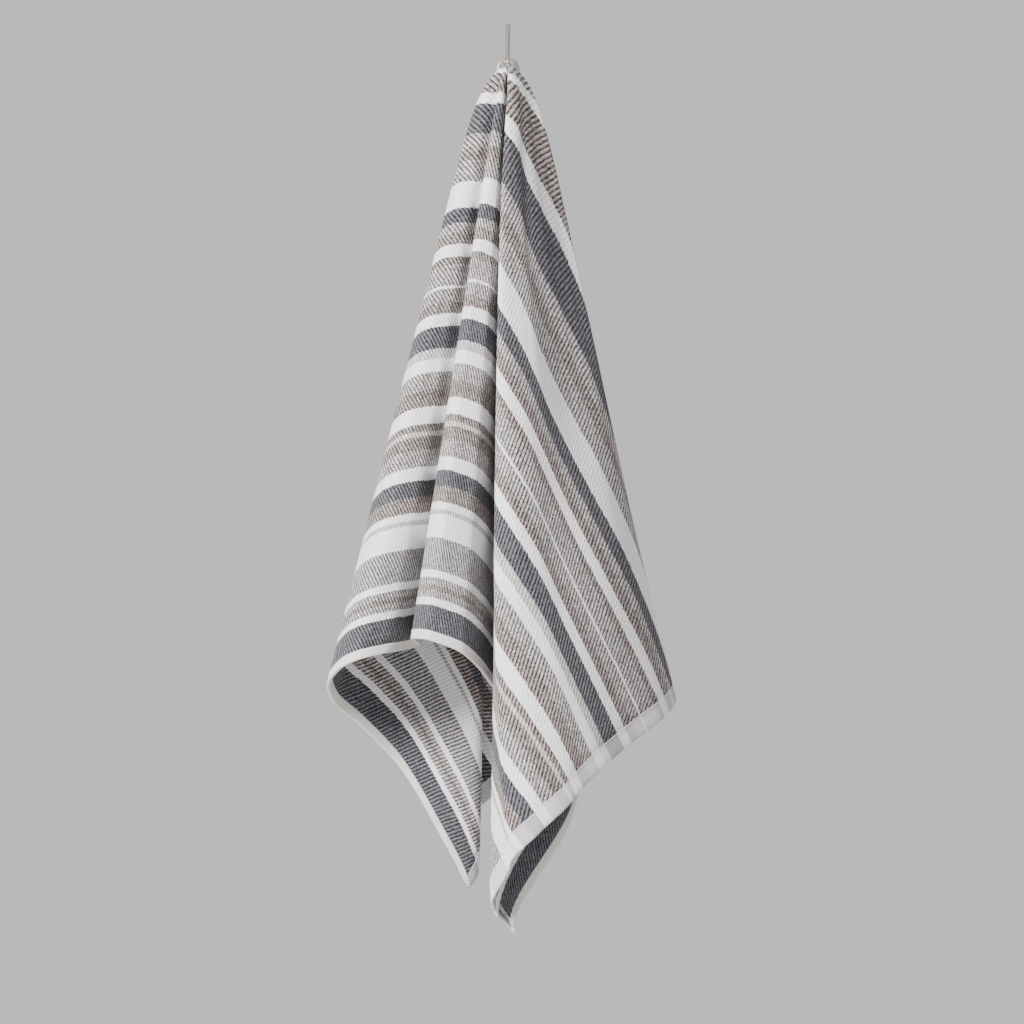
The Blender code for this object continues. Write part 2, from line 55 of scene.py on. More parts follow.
# How the cloth falls from the hang point. Each row is one straight line of the cloth, named by its
# angle on the flat towel, where 0 runs square to the long sides. Then come its lean to the right and
# toward the room in degrees, where it leaves the rounded top, right and roomward in millimetres, and
# how far it bows to the right at a third of the way down and flares to the right at its foot.
FALL = np.array(
    [
        (-180, 0.0, -3.0, 0.0, 0.0, 0, 0),
        (-172, 0.3, -3.0, 4.8, 0.0, 0, 0),
        (-165, 0.5, -2.9, 7.8, -1.0, 0, 0),
        (-150, 0.6, -2.8, 10.5, -3.0, 0, 0),
        (-125, -0.6, -1.8, 12.0, -6.0, 0, 0),
        (-110, -2.4, -0.8, 13.6, -7.4, 0, 0),
        (-103, -1.8, -0.1, 15.0, -8.0, 0, 0),
        (-96, 0.6, -0.4, 16.8, -8.0, 0, 0),
        (-92.5, 4.4, -1.0, 18.4, -7.8, 1, 0),
        (-88, 9.2, -1.6, 21.0, -7.0, 3, 0),
        (-84, 12.4, -1.4, 23.6, -5.5, 3, 0),
        (-80, 14.4, -0.6, 25.0, -3.0, 1, 0),
        (-76.5, 14.8, 1.4, 24.0, 0.5, -12, 0),
        (-73, 13.6, 4.6, 22.5, 5.0, -22, 0),
        (-70, 11.4, 7.0, 20.0, 9.0, -23, 4),
        (-65.6, 8.0, 9.8, 16.0, 12.0, -19, 12),
        (-62, 5.4, 11.6, 12.5, 14.2, -13, 18),
        (-59, 3.4, 12.9, 10.0, 15.6, -12, 24),
        (-56, 0.8, 13.6, 6.5, 16.6, -10, 27),
        (-53, -1.3, 12.8, 2.4, 16.8, -4.5, 22),
        (-50, -1.2, 10.4, 2.2, 15.6, -3, 2),
        (-47.5, -0.3, 8.6, 3.0, 14.6, -3, 0),
        (-38.5, 4.9, 6.5, 4.6, 14.2, -2, 0),
        (-33, 6.0, 4.8, 4.8, 12.6, 0, 0),
        (-28, 3.6, 2.9, 1.9, 11.4, 0, 0),
        (-20, -1.2, 4.3, -1.6, 12.0, 0, 0),
        (-15, -2.6, 8.2, -2.4, 13.8, 0, 0),
        (-10, -4.6, 12.0, -3.2, 15.2, 0, 0),
        (-5, -7.4, 12.6, -4.2, 15.8, 0, 0),
        (0, -9.2, 9.8, -5.0, 15.4, 0, 0),
        (5, -8.5, 6.4, -7.0, 12.8, 0, 0),
        (10, -9.8, 7.8, -10.6, 12.8, 0, 0),
        (14, -11.5, 10.2, -15.0, 12.0, 0, 0),
        (17.5, -13.5, 10.8, -19.0, 10.4, 0, 0),
        (21, -15.3, 8.8, -23.0, 7.4, 0, 0),
        (24.4, -16.0, 5.6, -26.0, 3.0, 0, 0),
        (27, -15.4, 2.8, -26.0, -0.4, 0, 0),
        (30, -13.0, -0.2, -25.0, -3.2, 0, 0),
        (35.5, -8.8, -2.6, -22.0, -6.6, 0, 0),
        (40.5, -5.8, -2.2, -18.6, -8.2, 0, 0),
        (45.5, -3.1, -1.9, -16.0, -8.8, 0, 0),
        (47.5, -2.5, -2.4, -15.6, -9.4, 0, 0),
        (50, -2.8, -3.4, -15.4, -10.8, 0, 0),
        (52.2, -2.6, -3.8, -15.0, -11.4, 0, 0),
        (54, -1.3, -3.9, -14.2, -11.6, 0, 0),
        (63, 4.6, -3.8, -12.6, -11.6, 0, 0),
        (68, 5.8, -4.3, -12.6, -13.8, 0, 0),
        (73, 4.2, -5.0, -12.8, -16.6, 0, 0),
        (82, -0.5, -5.2, -13.2, -17.2, 0, 0),
        (90, -6.0, -5.1, -14.0, -17.8, 0, 0),
        (96, -9.6, -5.0, -14.8, -18.0, 0, 0),
        (103, -12.8, -4.9, -15.4, -18.2, 0, 0),
        (110, -14.6, -5.2, -15.4, -19.0, 0, 0),
        (125, -7.0, -5.0, -13.8, -19.0, 0, 0),
        (150, -1.2, -3.4, -10.5, -11.0, 0, 0),
        (165, -0.5, -2.9, -7.8, -4.0, 0, 0),
        (172, -0.3, -3.0, -4.8, -1.0, 0, 0),
        (180, 0.0, -3.0, 0.0, 0.0, 0, 0),
    ]
)
LEAN_FROM = 108.0
LEAN_MOST = 84.0
SMALLEST_TOP = 0.012
LEAN_AT = 0.65
BOW_DOWN_TO = 0.70
FOOT_FROM = 0.50
FOOT_AT = 0.85
# The soft dents: their depth in front, how much deeper they are behind, and where they are full.
DENT_FRONT = 0.0011
DENT_BEHIND = 0.0026
DENTS_FULL_AT = 0.30
FULL_THICK_AT = 0.15

# The woven stripes across the towel, from one side hem to the other: where each starts, in
# millimetres from the hang point, and its yarn.
STRIPES = (
    (-48.0, "dark"),
    (-26.4, "white"),
    (-15.4, "grey"),
    (8.8, "white"),
    (13.2, "brown"),
    (36.3, "white"),
    (49.5, "dark"),
    (82.5, "light"),
    (98.0, "brown"),
    (112.0, "light"),
    (135.4, "white"),
    (164.0, "dark"),
    (179.4, "light"),
    (190.0, "brown"),
    (202.5, "white"),
    (216.8, "brown"),
    (225.0, "light"),
    (247.6, "white"),
    (250.9, "light"),
    (265.0, "brown"),
    (277.3, "white"),
    (291.6, "dark"),
    (315.8, "pale"),
    (325.7, "white"),
    (340.1, "light"),
    (359.0, "brown"),
    (377.5, "white"),
    (396.2, "brown"),
    (404.0, "pale"),
    (409.5, "brown"),
    (424.0, "light"),
    (441.3, "white"),
    (456.7, "dark"),
    (473.2, "brown"),
    (490.8, "white"),
    (499.0, "pale"),
    (504.5, "white"),
    (529.3, "grey"),
    (563.5, "white"),
    (571.2, "light"),
    (579.0, "brown"),
    (585.0, "light"),
    (592.1, "white"),
    (600.9, "dark"),
)
# Each yarn's linear colour and how strongly its heather is flecked.
YARNS = {
    "dark": ((0.150, 0.153, 0.176), 0.85),
    "white": ((0.880, 0.880, 0.900), 0.0),
    "pale": ((0.650, 0.635, 0.615), 0.30),
    "grey": ((0.500, 0.492, 0.512), 0.62),
    "light": ((0.510, 0.495, 0.497), 0.90),
    "brown": ((0.345, 0.312, 0.300), 1.0),
}
# How far the stripes in the end hems fade to white.
HEM_YARN_MIX = 0.35
CREAM = (0.80, 0.775, 0.72)
# One colour ramp holds too few stops, so the stripes are in two, and the second starts here.
STRIPE_SPLIT = 0.300


def along_rows(x, table):
    """Monotone cubic curves through the rows of a table, at each x."""
    xs = table[:, 0]
    ys = table[:, 1:]
    step = np.diff(xs)[:, None]
    rise = np.diff(ys, axis=0) / step
    slope = np.zeros_like(ys)
    same = rise[:-1] * rise[1:] > 0
    w1 = 2 * step[1:] + step[:-1]
    w2 = step[1:] + 2 * step[:-1]
    safe_a = np.where(same, rise[:-1], 1.0)
    safe_b = np.where(same, rise[1:], 1.0)
    slope[1:-1] = np.where(same, (w1 + w2) / (w1 / safe_a + w2 / safe_b), 0.0)
    slope[0] = rise[0]
    slope[-1] = rise[-1]
    i = np.clip(np.searchsorted(xs, x, side="right") - 1, 0, len(xs) - 2)
    width = (xs[i + 1] - xs[i])[..., None]
    u = (x - xs[i])[..., None] / width
    a = ys[i]
    b = ys[i + 1]
    start = slope[i] * width
    end = slope[i + 1] * width
    return (
        (2 * u**3 - 3 * u**2 + 1) * a
        + (u**3 - 2 * u**2 + u) * start
        + (3 * u**2 - 2 * u**3) * b
        + (u**3 - u**2) * end
    )


def fall_of(s, t):
    """Where a point of the flat towel hangs, before its small folds."""
    reach = np.hypot(s, t)
    angle = np.degrees(np.arctan2(-s, t))
    row = along_rows(angle, FALL)
    top = row[..., 2:4] / 1000
    right = np.tan(np.radians(row[..., 0])) - top[..., 0] / LEAN_AT
    out = np.tan(np.radians(row[..., 1])) - top[..., 1] / LEAN_AT
    size = np.hypot(top[..., 0], top[..., 1]) + 1e-9
    curve = np.maximum(size, SMALLEST_TOP)
    left = np.exp(-reach / curve)
    root = np.sqrt(1 - left**2)
    fall = reach + curve * (np.log1p(root) - root)
    past = np.clip(np.abs(angle) - LEAN_FROM, 0, None)
    lean = np.radians(past * LEAN_MOST / (180 - LEAN_FROM))
    out = out * np.cos(lean) - np.tan(lean)
    length = np.sqrt(right**2 + out**2 + 1)
    sink = fall / length
    bow = 6.75 * np.clip(sink / BOW_DOWN_TO, 0, 1) * np.clip(1 - sink / BOW_DOWN_TO, 0, 1) ** 2
    foot = (np.clip(sink - FOOT_FROM, 0, None) / (FOOT_AT - FOOT_FROM)) ** 2
    aside = (row[..., 4] * bow + row[..., 5] * foot) / 1000
    x = sink * right + aside + top[..., 0] * (1 - left)
    y = -fall * out / length - top[..., 1] * (1 - left)
    z = -fall / length
    return np.stack([x, y, z], -1) + HANG, angle, reach


def unit(v):
    return v / np.maximum(np.linalg.norm(v, axis=-1, keepdims=True), 1e-12)


def ease(share):
    """From 0 to 1 with level ends."""
    grow = np.clip(share, 0, 1)
    return grow * grow * (3 - 2 * grow)


# The two low corners curl: where each is on the flat towel, how far in its curl starts, the curl's
# radius, and which way it rolls, toward the front face of the cloth or away from it.
CURLS = (
    ((S_RIGHT, T_LOWER), 0.050, 0.055, 1.0),
    ((S_LEFT, T_LOWER), 0.022, 0.016, -1.0),
)


def place(s, t):
    """Where a point of the flat towel hangs, with its low corners curled."""
    s = np.asarray(s, float)
    t = np.asarray(t, float)
    result = hang(s, t)
    for (s0, t0), start, radius, way in CURLS:
        aim = np.array((math.copysign(1, s0), 1.0)) / math.sqrt(2)
        along = (s - s0) * aim[0] + (t - t0) * aim[1] + start
        past = np.clip(along, 0, None)
        if not np.any(past > 0):
            continue
        foot_s = s - past * aim[0]
        foot_t = t - past * aim[1]
        base = hang(foot_s, foot_t)
        step = 0.002
        down = unit(base - hang(foot_s - step * aim[0], foot_t - step * aim[1]))
        side = hang(foot_s - step * aim[1], foot_t + step * aim[0]) - hang(
            foot_s + step * aim[1], foot_t - step * aim[0]
        )
        face = unit(np.cross(down, side)) * way
        turn = past / radius
        ahead = (radius * np.sin(turn))[..., None]
        aside = (radius * (1 - np.cos(turn)))[..., None]
        bent = base + down * ahead + face * aside
        result = np.where((past > 0)[..., None], bent, result)
    return result


def hang(s, t):
    """Where a point of the flat towel hangs, with soft dents."""
    point, angle, reach = fall_of(s, t)
    turn = np.radians(angle)
    dent = (
        0.9 * np.sin(13 * turn + 9.0 * reach + 0.6)
        + 0.8 * np.sin(21 * turn - 17.0 * reach + 2.1)
        + 0.6 * np.sin(9 * turn + 23.0 * reach + 4.0)
        + 0.5 * np.sin(34 * turn + 12.0 * reach + 1.2)
    )
    behind = 1 / (1 + np.exp((64 - np.abs(angle)) / 4))
    point[..., 1] += (DENT_FRONT + DENT_BEHIND * behind) * dent * ease(reach / DENTS_FULL_AT)
    return point


def lies(s, t):
    """Points of the hung towel and the way its front faces there."""
    step = 0.0012
    s = np.asarray(s, float)
    t = np.asarray(t, float)
    reach = np.hypot(s, t)
    turn = np.arctan2(-s, t)
    width = step / np.maximum(reach, step)

    def at(r, a):
        return place(-r * np.sin(a), r * np.cos(a))

    out = at(reach + step, turn) - at(np.maximum(reach - step, 0.0004), turn)
    over = at(reach, turn + width) - at(reach, turn - width)
    return place(s, t), unit(np.cross(out, over))


def half_thick(reach, full):
    """Half the cloth's thickness, which is squeezed thin where it rests on the hook."""
    return (APEX_THICK + (full - APEX_THICK) * ease(reach / FULL_THICK_AT)) / 2


# ---- materials ----


class Look:
    """A node material with one Principled shader, and short calls that add and join its nodes."""

    def __init__(self, name):
        self.material = bpy.data.materials.new(name)
        self.material.use_nodes = True
        self.tree = self.material.node_tree
        self.shader = self.tree.nodes["Principled BSDF"]

    def node(self, kind, settings=(), **inputs):
        made = self.tree.nodes.new(kind)
        for key, value in dict(settings).items():
            setattr(made, key, value)
        for key, value in inputs.items():
            numbered = key[0] == "i" and key[1:].isdigit()
            self.put(value, made.inputs[int(key[1:]) if numbered else key])
        return made

    def put(self, value, socket):
        if isinstance(value, bpy.types.NodeSocket):
            self.tree.links.new(value, socket)
        else:
            socket.default_value = value

    def math(self, how, *values):
        made = self.tree.nodes.new("ShaderNodeMath")
        made.operation = how
        for k, value in enumerate(values):
            self.put(value, made.inputs[k])
        return made.outputs[0]

    def mix(self, share, a, b, how="MIX"):
        made = self.tree.nodes.new("ShaderNodeMix")
        made.data_type = "RGBA"
        made.blend_type = how
        self.put(share, made.inputs[0])
        self.put(a, made.inputs[6])
        self.put(b, made.inputs[7])
        return made.outputs[2]

    def pair(self, x, y):
        made = self.tree.nodes.new("ShaderNodeCombineXYZ")
        self.put(x, made.inputs[0])
        self.put(y, made.inputs[1])
        return made.outputs[0]

    def noise(self, where, scale, detail=1.0, rough=0.5):
        made = self.tree.nodes.new("ShaderNodeTexNoise")
        made.inputs["Scale"].default_value = scale
        made.inputs["Detail"].default_value = detail
        made.inputs["Roughness"].default_value = rough
        self.put(where, made.inputs["Vector"])
        return made.outputs[0]

    def ramp(self, share, stops):
        """Flat bands of colour, each from its stop to the next."""
        made = self.tree.nodes.new("ShaderNodeValToRGB")
        band = made.color_ramp
        band.interpolation = "CONSTANT"
        while len(band.elements) > 1:
            band.elements.remove(band.elements[-1])
        band.elements[0].position = stops[0][0]
        band.elements[0].color = stops[0][1]
        for at, colour in stops[1:]:
            stop = band.elements.new(at)
            stop.color = colour
        self.put(share, made.inputs[0])
        return made

    def bump(self, height, distance, strength=1.0):
        made = self.tree.nodes.new("ShaderNodeBump")
        made.inputs["Strength"].default_value = strength
        made.inputs["Distance"].default_value = distance
        self.put(height, made.inputs["Height"])
        self.tree.links.new(made.outputs[0], self.shader.inputs["Normal"])

    def colour(self, value):
        self.put(value, self.shader.inputs["Base Color"])

    def finish(self, **settings):
        for key, value in settings.items():
            self.put(value, self.shader.inputs[key.replace("_", " ")])
        return self.material


def stripe_band(look, across, mixed=0.0):
    """(colour, fleck) of the woven stripes at the place across the towel, in metres."""
    outs = []
    for low, high in ((T_UPPER, STRIPE_SPLIT), (STRIPE_SPLIT, T_LOWER)):
        stops = []
        first = [row for row in STRIPES if row[0] / 1000 <= low + 1e-6][-1]
        rows = [(low * 1000, first[1])]
        rows += [row for row in STRIPES if low + 1e-6 < row[0] / 1000 < high]
        for at, yarn in rows:
            colour, fleck = YARNS[yarn]
            white = YARNS["white"][0]
            shade = [c + (w - c) * mixed for c, w in zip(colour, white)]
            stops.append(((at / 1000 - low) / (high - low), (*shade, fleck)))
        share = look.math("DIVIDE", look.math("SUBTRACT", across, low), high - low)
        outs.append(look.ramp(share, stops))
    second = look.math("GREATER_THAN", across, STRIPE_SPLIT)
    colour = look.mix(second, outs[0].outputs[0], outs[1].outputs[0])
    fleck = look.math(
        "ADD",
        look.math("MULTIPLY", outs[0].outputs[1], look.math("SUBTRACT", 1.0, second)),
        look.math("MULTIPLY", outs[1].outputs[1], second),
    )
    return colour, fleck


def flat_place(look):
    """The flat towel's s and t in metres, which every cloth piece keeps in its UV map named cloth."""
    uv = look.node("ShaderNodeUVMap", {"uv_map": "cloth"}).outputs[0]
    parts = look.node("ShaderNodeSeparateXYZ", i0=uv)
    return parts.outputs[0], parts.outputs[1]


# The pile's ribs: how far apart, and their turn from the long sides. Then one loop's length and width.
RIB = 0.0043
RIB_TURN = math.radians(58.0)
LOOP_LONG = 0.0024
LOOP_WIDE = 0.0021


def terry():
    """The striped pile: rows of loops on slanting ribs, with heathered yarn and painted shade between its
    loops and ribs.
    """
    look = Look("terry_pile_striped")
    s, t = flat_place(look)
    run = look.math(
        "ADD",
        look.math("MULTIPLY", s, math.cos(RIB_TURN)),
        look.math("MULTIPLY", t, math.sin(RIB_TURN)),
    )
    side = look.math(
        "SUBTRACT",
        look.math("MULTIPLY", t, math.cos(RIB_TURN)),
        look.math("MULTIPLY", s, math.sin(RIB_TURN)),
    )
    flat = look.pair(s, t)
    wander = look.math("MULTIPLY", look.math("SUBTRACT", look.noise(flat, 60.0), 0.5), 0.0014)
    side = look.math("ADD", side, wander)
    ribbed = look.math("FRACT", look.math("DIVIDE", side, RIB))
    rib = look.math("ABSOLUTE", look.math("SUBTRACT", look.math("MULTIPLY", ribbed, 2.0), 1.0))
    loops = look.node(
        "ShaderNodeTexVoronoi",
        {"voronoi_dimensions": "2D", "feature": "F1"},
        Scale=1.0,
        Vector=look.pair(
            look.math("MULTIPLY", run, 1 / LOOP_LONG), look.math("MULTIPLY", side, 1 / LOOP_WIDE)
        ),
    )
    loops.inputs["Randomness"].default_value = 0.75
    away = look.math("MINIMUM", look.math("MULTIPLY", loops.outputs["Distance"], 1.35), 1.0)
    loop = look.math("SUBTRACT", 1.0, away)
    grain = look.node("ShaderNodeSeparateXYZ", i0=loops.outputs["Color"])
    jag = look.math(
        "ADD",
        look.math("MULTIPLY", look.math("SUBTRACT", ribbed, 0.5), 0.0008),
        look.math("MULTIPLY", look.math("SUBTRACT", grain.outputs[0], 0.5), 0.0012),
    )
    across = look.math("ADD", t, jag)
    colour, fleck = stripe_band(look, across)

    drawn_out = look.pair(look.math("MULTIPLY", run, 1 / 0.010), look.math("MULTIPLY", side, 1 / 0.0024))
    streak = look.noise(drawn_out, 1.0, 2.0, 0.6)
    lightness = look.math(
        "ADD",
        look.math("MULTIPLY", look.math("SUBTRACT", grain.outputs[1], 0.5), 1.15),
        look.math("MULTIPLY", look.math("SUBTRACT", streak, 0.5), 0.45),
    )
    lightness = look.math("MULTIPLY", lightness, fleck)
    even = look.math("ADD", 1.12, look.math("MULTIPLY", fleck, 0.30))
    factor = look.math("ADD", even, look.math("MULTIPLY", lightness, 1.05))
    factor = look.math("MAXIMUM", factor, 0.22)
    shade = look.node("ShaderNodeCombineXYZ", i0=factor, i1=factor, i2=factor)
    colour = look.mix(1.0, colour, shade.outputs[0], "MULTIPLY")
    some_loops = look.math("GREATER_THAN", grain.outputs[2], 0.62)
    warm = look.math("MULTIPLY", some_loops, look.math("MULTIPLY", fleck, 0.55))
    colour = look.mix(warm, colour, look.mix(1.0, colour, (1.10, 0.90, 0.80, 1.0), "MULTIPLY"))
    # Painted shade: the colour is darkened in the gaps between loops and in the grooves between ribs.
    plush = look.math("ADD", 0.35, look.math("MULTIPLY", look.math("MINIMUM", fleck, 0.5), 1.3))
    loop_gap_shade = look.math("MULTIPLY", look.math("SUBTRACT", 1.0, loop), 0.36)
    rib_groove_shade = look.math("MULTIPLY", look.math("SUBTRACT", 1.0, rib), 0.78)
    dark = look.math("SUBTRACT", 1.0, look.math("MULTIPLY", look.math("ADD", loop_gap_shade, rib_groove_shade), plush))
    gap = look.node("ShaderNodeCombineXYZ", i0=dark, i1=dark, i2=dark)
    colour = look.mix(1.0, colour, gap.outputs[0], "MULTIPLY")
    look.colour(colour)
    ridge = look.math("MULTIPLY", look.math("MULTIPLY", rib, plush), 0.65)
    height = look.math("ADD", look.math("MULTIPLY", loop, 0.55), ridge)
    look.bump(height, 0.0013, 0.8)
    return look.finish(Roughness=0.95, Sheen_Weight=0.12, Specular_IOR_Level=0.15)


def woven(name, plain=None):
    """A flat tight weave for hems: one plain colour, or the stripes paler, with painted shade between its
    threads.
    """
    look = Look(name)
    s, t = flat_place(look)
    pitch = 0.0009
    warp = look.math("ABSOLUTE", look.math("SINE", look.math("MULTIPLY", s, math.pi / pitch)))
    weft = look.math("ABSOLUTE", look.math("SINE", look.math("MULTIPLY", t, math.pi / pitch)))
    weave = look.math("MULTIPLY", look.math("ADD", warp, weft), 0.5)
    mottle = look.noise(look.pair(s, t), 260.0, 2.0)
    if plain:
        base = look.mix(mottle, tuple(0.90 * c for c in plain) + (1.0,), (*plain, 1.0))
    else:
        rough = look.noise(look.pair(s, t), 900.0)
        jag = look.math("MULTIPLY", look.math("SUBTRACT", rough, 0.5), 0.0008)
        colour, _ = stripe_band(look, look.math("ADD", t, jag), HEM_YARN_MIX)
        drawn_out = look.pair(look.math("MULTIPLY", s, 120.0), look.math("MULTIPLY", t, 1100.0))
        thread = look.noise(drawn_out, 1.0, 1.0)
        streak = look.math("ADD", 0.86, look.math("MULTIPLY", thread, 0.26))
        streak = look.node("ShaderNodeCombineXYZ", i0=streak, i1=streak, i2=streak)
        base = look.mix(1.0, colour, streak.outputs[0], "MULTIPLY")
    # Painted shade: the colour is darkened between the threads of the weave.
    dark = look.math("ADD", 0.80, look.math("MULTIPLY", weave, 0.24))
    shade = look.node("ShaderNodeCombineXYZ", i0=dark, i1=dark, i2=dark)
    look.colour(look.mix(1.0, base, shade.outputs[0], "MULTIPLY"))
    look.bump(look.math("ADD", weave, look.math("MULTIPLY", mottle, 0.8)), 0.0004, 0.7)
    return look.finish(Roughness=0.88, Sheen_Weight=0.08, Specular_IOR_Level=0.2)


def cotton_thread():
    look = Look("cotton_thread")
    where = look.node("ShaderNodeTexCoord").outputs["Object"]
    twist = look.noise(where, 1800.0, 1.0)
    look.colour(look.mix(twist, (0.70, 0.69, 0.66, 1.0), (0.86, 0.85, 0.82, 1.0)))
    look.bump(twist, 0.0002, 0.6)
    return look.finish(Roughness=0.75, Specular_IOR_Level=0.3)


def metal(name, colour, low, high, grain=(260.0, 2400.0, 260.0), mark=0.00006):
    """Plated metal with fine brush marks, faint stains and uneven gloss."""
    look = Look(name)
    where = look.node("ShaderNodeTexCoord").outputs["Object"]
    long = look.node("ShaderNodeMapping", i0=where)
    long.inputs["Scale"].default_value = grain
    brush = look.noise(long.outputs[0], 1.0, 3.0, 0.6)
    stain = look.noise(where, 140.0, 3.0, 0.6)
    shade = look.math("ADD", look.math("MULTIPLY", brush, 0.22), look.math("MULTIPLY", stain, 0.16))
    look.colour(look.mix(shade, (*colour, 1.0), tuple(c * 0.62 for c in colour) + (1.0,)))
    gloss = look.math("ADD", low, look.math("MULTIPLY", look.math("ADD", brush, stain), (high - low) / 2))
    look.put(gloss, look.shader.inputs["Roughness"])
    look.bump(brush, mark, 0.6)
    return look.finish(Metallic=1.0)


# ---- cloth pieces ----


def mesh_piece(name, points, faces, look, uv=None, bake=None):
    """A mesh from points and quads. uv and bake hold one pair for each corner of each face."""
    data = bpy.data.meshes.new(name)
    data.from_pydata([tuple(p) for p in points], [], [tuple(f) for f in faces])
    for layer, pairs in (("cloth", uv), ("OFBake", bake)):
        if pairs is not None:
            made = data.uv_layers.new(name=layer)
            made.data.foreach_set("uv", np.asarray(pairs, float).ravel())
    data.materials.append(look)
    data.shade_smooth()
    obj = bpy.data.objects.new(name, data)
    bpy.context.scene.collection.objects.link(obj)
    return obj


BODY = (S_LEFT + END_HEM, S_RIGHT - END_HEM, T_UPPER + SIDE_HEM, T_LOWER - SIDE_HEM)
# The cloth runs on inside its folded hems, thinner there, to just short of the towel's own edges.
INSET = 0.0009
EDGE = (S_LEFT + INSET, S_RIGHT - INSET, T_UPPER + INSET, T_LOWER - INSET)
TUCKED_THICK = 0.0010
# The hems: how far they lap over the pile, their thickness, and the step between their sections.
HEM_LAP = 0.0012
SIDE_HEM_THICK = HEM_THICK + 0.0009
END_HEM_THICK = HEM_THICK + 0.0004
HEM_STEP = 0.0036
# The stitches lie in the hem's face, so they start from a little less than its thickness.
STITCH_SINK = 0.92


def reach_in(turn, box):
    """How far the flat towel reaches from the hang point at each angle, inside a box of s and t."""
    s = -np.sin(turn)
    t = np.cos(turn)
    far = np.full(turn.shape, 9.0)
    for part, low, high in ((s, box[0], box[1]), (t, box[2], box[3])):
        far = np.where(part > 1e-9, np.minimum(far, high / np.maximum(part, 1e-9)), far)
        far = np.where(part < -1e-9, np.minimum(far, low / np.minimum(part, -1e-9)), far)
    return far


def columns():
    """Angles of the cloth's columns, closer together where its front folds are, with its corners."""
    found = []
    at = -180.0
    while at < 180.0 - 1e-6:
        found.append(at)
        at += 0.44 if -97 < at < 58 else 0.72
    found = np.array(found)
    corners = [math.degrees(math.atan2(-s, t)) for s in BODY[:2] for t in BODY[2:]]
    for corner in corners:
        found[np.argmin(np.abs(found - corner))] = corner
    return np.sort(found)


def towel_body(look):
    """The pile cloth: rings of points out from the hang point, on both faces, closed at the rim.

    Its OFBake layout has the front face below, the back face above and the rim between them."""
    turn = np.radians(columns())
    far = reach_in(turn, BODY)
    near = (0.0015, 0.0035, 0.006, 0.009, 0.013, 0.018, 0.024)
    steps = 66
    reaches = [np.minimum(np.full_like(far, r), far * 0.7) for r in near]
    for k in range(1, steps + 1):
        reaches.append(near[-1] + (far - near[-1]) * (k / steps) ** 1.12)
    edge = reach_in(turn, EDGE)
    reaches += [far + (edge - far) * 0.12, edge]
    rings = len(reaches)
    count = len(turn)
    flat = []
    sides = ([], [])
    for k, reach in enumerate(reaches):
        s = -reach * np.sin(turn)
        t = reach * np.cos(turn)
        point, normal = lies(s, t)
        tucked = k >= rings - 2
        half = np.full_like(reach, TUCKED_THICK / 2) if tucked else half_thick(reach, PILE_THICK)
        lift = normal * half[:, None]
        sides[0].append(point + lift)
        sides[1].append(point - lift)
        flat.append(np.stack([s, t], -1))
    top = HANG[None, :]
    up = np.array([[0.0, 0.0, APEX_THICK / 2]])
    points = np.concatenate([top + up, *sides[0], top - up, *sides[1]])
    flat = np.concatenate([[[0.0, 0.0]], *flat])
    block = len(flat)
    wide = S_RIGHT - S_LEFT
    high = T_LOWER - T_UPPER
    layout = (flat - (S_LEFT, T_UPPER)) / (wide, high)

    i = np.arange(count)
    j = (i + 1) % count
    faces = []
    for side in (0, 1):
        start = side * block
        fan = np.stack([np.full(count, start), start + 1 + i, start + 1 + j], -1)
        faces += list(fan if side == 0 else fan[:, ::-1])
        for k in range(rings - 1):
            a = start + 1 + k * count
            b = a + count
            quad = np.stack([a + i, b + i, b + j, a + j], -1)
            faces += list(quad if side == 0 else quad[:, ::-1])
    body_faces = len(faces)
    last = 1 + (rings - 1) * count
    rim = np.stack([last + i, block + last + i, block + last + j, last + j], -1)
    faces += list(rim)
    uv = []
    bake = []
    for face in faces[:body_faces]:
        for v in face:
            back = v >= block
            uv.append(flat[v % block])
            place_on = layout[v % block]
            low = 0.515 if back else 0.01
            bake.append((0.01 + 0.98 * place_on[0], low + 0.475 * place_on[1]))
    for k, face in enumerate(faces[body_faces:]):
        ends = (k, k, k + 1, k + 1)
        for v, end in zip(face, ends):
            uv.append(flat[v % block])
            bake.append((0.01 + 0.98 * end / count, 0.503 if v >= block else 0.497))
    made = mesh_piece("terry_towel", points, faces, look, uv, bake)
    outward(made)
    return made


def outward(obj):
    """Turns the faces of a closed piece outward."""
    work = bmesh.new()
    work.from_mesh(obj.data)
    if work.calc_volume(signed=True) < 0:
        bmesh.ops.reverse_faces(work, faces=work.faces)
    work.to_mesh(obj.data)
    work.free()
    obj.data.shade_smooth()


def tube(name, rows, flats, look):
    """A closed band through rows of points: each row holds one cross-section's corners in order."""
    rows = np.asarray(rows)
    flats = np.asarray(flats)
    count, corners = rows.shape[:2]
    points = rows.reshape(-1, 3)
    flat = flats.reshape(-1, 2)
    faces = []
    for k in range(count - 1):
        for c in range(corners):
            d = (c + 1) % corners
            a = k * corners
            b = a + corners
            faces.append((a + c, b + c, b + d, a + d))
    faces.append(tuple(range(corners)))
    faces.append(tuple((count - 1) * corners + c for c in reversed(range(corners))))
    uv = [flat[v] for face in faces for v in face]
    made = mesh_piece(name, points, faces, look, uv)
    outward(made)
    return made


def hem_band(name, along, width, side, full, look):
    """A folded hem: plump, with a rolled outer edge and a lip at its sewn edge."""
    low, high = width
    rows = []
    flats = []
    profile = (
        (0.0, 0.80), (0.05, 1.0), (0.16, 0.86), (0.5, 1.0), (0.85, 1.0), (0.97, 0.72), (1.0, 0.30)
    )
    shape = [(w, h) for w, h in profile] + [(w, -h) for w, h in reversed(profile)]
    for w, h in shape:
        across = np.full_like(along, low + (high - low) * w)
        s, t = (along, across) if side == "s" else (across, along)
        point, normal = lies(s, t)
        rows.append(point + normal * (h * half_thick(np.hypot(s, t), full))[:, None])
        flats.append(np.stack([s, t], -1))
    return tube(name, np.stack(rows, 1), np.stack(flats, 1), look)


